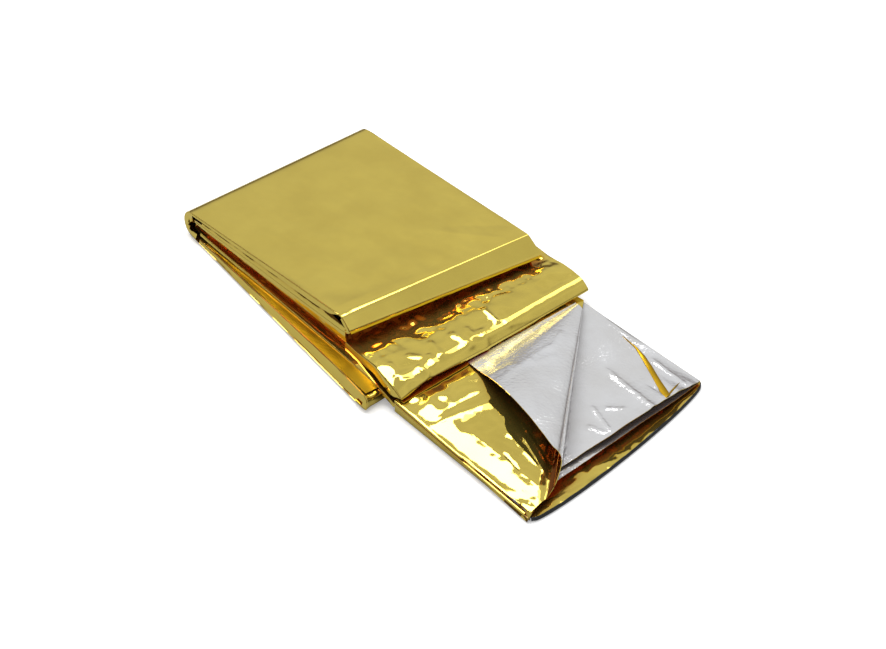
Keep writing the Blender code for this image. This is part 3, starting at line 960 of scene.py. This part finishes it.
def film_piece(mesh, walls, materials):
    """A sheet made solid, with the looks of each region's front, back and cut edge."""
    piece = bpy.data.objects.new(mesh.name, mesh)
    bpy.context.scene.collection.objects.link(piece)
    give_looks(mesh, materials)
    group = piece.vertex_groups.new(name="wall")
    thickest = float(walls.max())
    for wall in np.unique(walls):
        members = np.nonzero(walls == wall)[0].tolist()
        group.add(members, float(wall) / thickest, 'REPLACE')
    solid = piece.modifiers.new("wall", 'SOLIDIFY')
    solid.thickness = thickest * MM
    solid.offset = 0
    solid.vertex_group = group.name
    solid.material_offset = 1
    solid.material_offset_rim = 2
    evaluated = piece.evaluated_get(bpy.context.evaluated_depsgraph_get())
    finished = bpy.data.meshes.new_from_object(evaluated)
    piece.modifiers.clear()
    piece.data = finished
    finished.shade_smooth()
    finished.set_sharp_from_angle(angle=SHARP_ANGLE)
    return piece


# ==== the two pieces
def folded_strip(films):
    """The strip from its hidden end to where its plies part."""
    shares = np.linspace(0, 1, STRIP_COLUMNS + 1)
    rows, starts = strip_rows(shares)
    rows = rounded(rows, SMOOTHING)
    free = smooth(np.minimum(shares, 1 - shares) * STRIP_WIDTH / EDGE_HELD)
    work = new_work()
    add_grid(work, rows, STRIP_WALL, free=free)
    for lip in LIPS:
        add_grid(work, lip_grid(lip, rows, starts), LIP_WALL, free=np.zeros(LIP_COLUMNS + 1))
    for ply in STRIP_PLIES:
        add_grid(work, single_ply_rows(ply), ply.wall, free=np.zeros(ply.columns + 1),
                 regions=[ply.region] * ply.columns)
    bmesh.ops.recalc_face_normals(work, faces=work.faces)

    def relief(x, y, places):
        return strip_relief(x, y, places, starts)

    mesh, walls = sheet_mesh(work, "folded_strip", relief)
    return film_piece(mesh, walls, [films[look] for look in STRIP_LOOKS])


def open_end(films):
    """The plies that stand apart at the open end, with the curl of the top one."""
    lengths = evenly(OPEN_ROWS)
    work = new_work()
    fold = [FOLD] * EDGE_SEGMENTS
    regions = [LOWEST] * LOWEST_COLUMNS + fold + [LOWER] * LOWER_COLUMNS
    regions += fold + [UPPER] * UPPER_COLUMNS + fold + [TOP] * TOP_COLUMNS
    add_grid(work, [ply_row(length) for length in lengths], PLY_WALL,
             places=regions[:1] + regions, regions=regions)
    curl = [curl_row(length) for length in lengths if length >= CURL_LENGTH]
    add_region(work, curl, PLY_WALL, CURL)
    for rows, region in zip(skirt_rows(), (SKIRT, BORDER, SKIRT)):
        add_region(work, rows, PLY_WALL, region)
    add_region(work, hem_rows(), TUCK_WALL, SKIRT)
    add_region(work, single_ply_rows(FRONT_GAP_PLY), FRONT_GAP_PLY.wall, FRONT_GAP_PLY.region)
    for tucks in TUCKS:
        add_region(work, tuck_rows(tucks, upper_ply_height), TUCK_WALL, TUCK)
    bmesh.ops.remove_doubles(work, verts=work.verts, dist=WELD_DISTANCE)
    mesh, walls = sheet_mesh(work, "open_end", open_relief)
    return film_piece(mesh, walls, [films[look] for look in OPEN_LOOKS])


# ==== materials
def new_material(name):
    """A material with its nodes, links and shader."""
    material = bpy.data.materials.new(name)
    material.use_nodes = True
    nodes = material.node_tree.nodes
    return material, nodes, material.node_tree.links, nodes["Principled BSDF"]


def new_node(nodes, kind, **constants):
    """A new shader node. The names of its constants have _ for a space."""
    node = nodes.new(kind)
    for name, value in constants.items():
        node.inputs[name.replace("_", " ")].default_value = value
    return node


def colour_ramp(nodes, stops):
    """A new colour ramp with its stops."""
    ramp = nodes.new("ShaderNodeValToRGB")
    elements = ramp.color_ramp.elements
    for _ in stops[2:]:
        elements.new(0.5)
    for element, stop in zip(elements, stops):
        element.position = stop.place
    # Colours come after, because elements that move can change places.
    for element, stop in zip(elements, stops):
        element.color = stop.colour
    return ramp


def fold_shade_paint(nodes, links, film):
    """Output with the film's colour, and painted shade that deepens it where other film is near.
    """
    painted_shade_mask = new_node(nodes, "ShaderNodeAmbientOcclusion", Distance=PAINTED_SHADE_REACH)
    painted_shade_mask.samples = PAINTED_SHADE_SAMPLES
    painted_shade_mask.only_local = True
    painted_shade_tint = colour_ramp(nodes, [Stop(PAINTED_SHADE_OPENNESS[0], film.in_folds),
                               Stop(PAINTED_SHADE_OPENNESS[1], film.colour)])
    links.new(painted_shade_mask.outputs["AO"], painted_shade_tint.inputs["Fac"])
    return painted_shade_tint.outputs["Color"]


def clouded(nodes, links, colour, smudge):
    """Output with a colour under faint clouds."""
    clouds = colour_ramp(nodes, CLOUDS)
    mix = nodes.new("ShaderNodeMix")
    mix.data_type = 'RGBA'
    mix.blend_type = 'MULTIPLY'
    mix.inputs["Factor"].default_value = 1
    links.new(smudge, clouds.inputs["Fac"])
    links.new(colour, mix.inputs["A"])
    links.new(clouds.outputs["Color"], mix.inputs["B"])
    return mix.outputs["Result"]


def crinkled(nodes, links, film, place):
    """Output with the normal of finely crinkled film."""
    fine = new_node(nodes, "ShaderNodeTexNoise", Scale=film.grain, Detail=CRINKLE_DETAIL)
    bump = new_node(nodes, "ShaderNodeBump", Strength=film.crinkle, Distance=CRINKLE_DEPTH)
    links.new(place, fine.inputs["Vector"])
    links.new(fine.outputs["Fac"], bump.inputs["Height"])
    return bump.outputs["Normal"]


def film_material(film):
    """Metallised film: a mirror with faint clouds and a fine crinkle, and painted shade in its
    folds.
    """
    material, nodes, links, shader = new_material(film.name)
    shader.inputs["Metallic"].default_value = film.metallic
    place = nodes.new("ShaderNodeTexCoord").outputs["Object"]
    noise = new_node(nodes, "ShaderNodeTexNoise", Scale=SMUDGE_SCALE, Detail=SMUDGE_DETAIL)
    smudge = noise.outputs["Fac"]
    low, high = [film.roughness * share for share in ROUGHNESS_RANGE]
    uneven = new_node(nodes, "ShaderNodeMapRange", To_Min=low, To_Max=high)
    colour = clouded(nodes, links, fold_shade_paint(nodes, links, film), smudge)
    links.new(place, noise.inputs["Vector"])
    links.new(smudge, uneven.inputs["Value"])
    links.new(colour, shader.inputs["Base Color"])
    links.new(uneven.outputs["Result"], shader.inputs["Roughness"])
    links.new(crinkled(nodes, links, film, place), shader.inputs["Normal"])
    return material


# ==== the studio
def mix_for_camera(nodes, links, seen):
    """Output that is 1 for the camera, and a mix with one colour for it and A for the rest."""
    to_camera = nodes.new("ShaderNodeLightPath").outputs["Is Camera Ray"]
    mix = nodes.new("ShaderNodeMix")
    mix.data_type = 'RGBA'
    mix.inputs["B"].default_value = seen
    links.new(to_camera, mix.inputs["Factor"])
    return to_camera, mix


def floor():
    """A plain pale floor, which is darker in the film than to the camera."""
    bpy.ops.mesh.primitive_plane_add(size=FLOOR_SIZE, location=(0, 0, -FLOOR_DROP))
    plane = bpy.context.object
    plane.name = "floor"
    material, nodes, links, shader = new_material("floor_white")
    shader.inputs["Roughness"].default_value = FLOOR_ROUGHNESS
    shader.inputs["Specular IOR Level"].default_value = 0.0
    shader.inputs["Emission Color"].default_value = STUDIO_SEEN
    seen, mix = mix_for_camera(nodes, links, STUDIO_SEEN)
    mix.inputs["A"].default_value = FLOOR_IN_FILM
    links.new(mix.outputs["Result"], shader.inputs["Base Color"])
    glow = nodes.new("ShaderNodeMath")
    glow.operation = 'MULTIPLY'
    glow.inputs[1].default_value = FLOOR_GLOW
    links.new(seen, glow.inputs[0])
    links.new(glow.outputs["Value"], shader.inputs["Emission Strength"])
    plane.data.materials.append(material)


def world():
    """What the film mirrors: grey walls over a dark horizon. The camera sees it plain and pale."""
    sky = bpy.data.worlds.new("studio")
    bpy.context.scene.world = sky
    sky.use_nodes = True
    nodes, links = sky.node_tree.nodes, sky.node_tree.links
    place = nodes.new("ShaderNodeTexCoord")
    split = nodes.new("ShaderNodeSeparateXYZ")
    ramp = colour_ramp(nodes, WALLS)
    _, mix = mix_for_camera(nodes, links, STUDIO_SEEN)
    links.new(place.outputs["Generated"], split.inputs["Vector"])
    links.new(split.outputs["Z"], ramp.inputs["Fac"])
    links.new(ramp.outputs["Color"], mix.inputs["A"])
    links.new(mix.outputs["Result"], nodes["Background"].inputs["Color"])


def light_up(softbox):
    """Hang one softbox, which shines down."""
    light = bpy.data.lights.new(softbox.name, 'AREA')
    light.shape = 'RECTANGLE'
    light.size, light.size_y = softbox.size
    light.energy = softbox.radiance * pi * light.size * light.size_y
    lamp = bpy.data.objects.new(softbox.name, light)
    lamp.location = softbox.place
    lamp.rotation_euler.z = softbox.turn
    bpy.context.scene.collection.objects.link(lamp)


def camera():
    """The camera, turned to its aim."""
    lens = bpy.data.cameras.new("camera")
    lens.lens = CAMERA_LENS
    lens.clip_start = CAMERA_NEAR_CLIP
    view = bpy.data.objects.new("camera", lens)
    direction = Vector((cos(CAMERA_AZIMUTH) * cos(CAMERA_ELEVATION),
                        sin(CAMERA_AZIMUTH) * cos(CAMERA_ELEVATION), sin(CAMERA_ELEVATION)))
    view.location = CAMERA_AIM + direction * CAMERA_DISTANCE
    view.rotation_euler = (-direction).to_track_quat('-Z', 'Y').to_euler()
    bpy.context.scene.collection.objects.link(view)
    bpy.context.scene.camera = view


def main():
    """Dress the frame and light it."""
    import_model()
    camera()
    floor()
    world()
    for softbox in SOFTBOXES:
        light_up(softbox)
    films = {film.name: film_material(film) for film in FILMS}
    strip = folded_strip(films)
    end = open_end(films)
    for piece in (strip, end):
        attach(piece, "root")
        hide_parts("blanket")
    bpy.context.scene.view_settings.view_transform = 'Standard'


main()
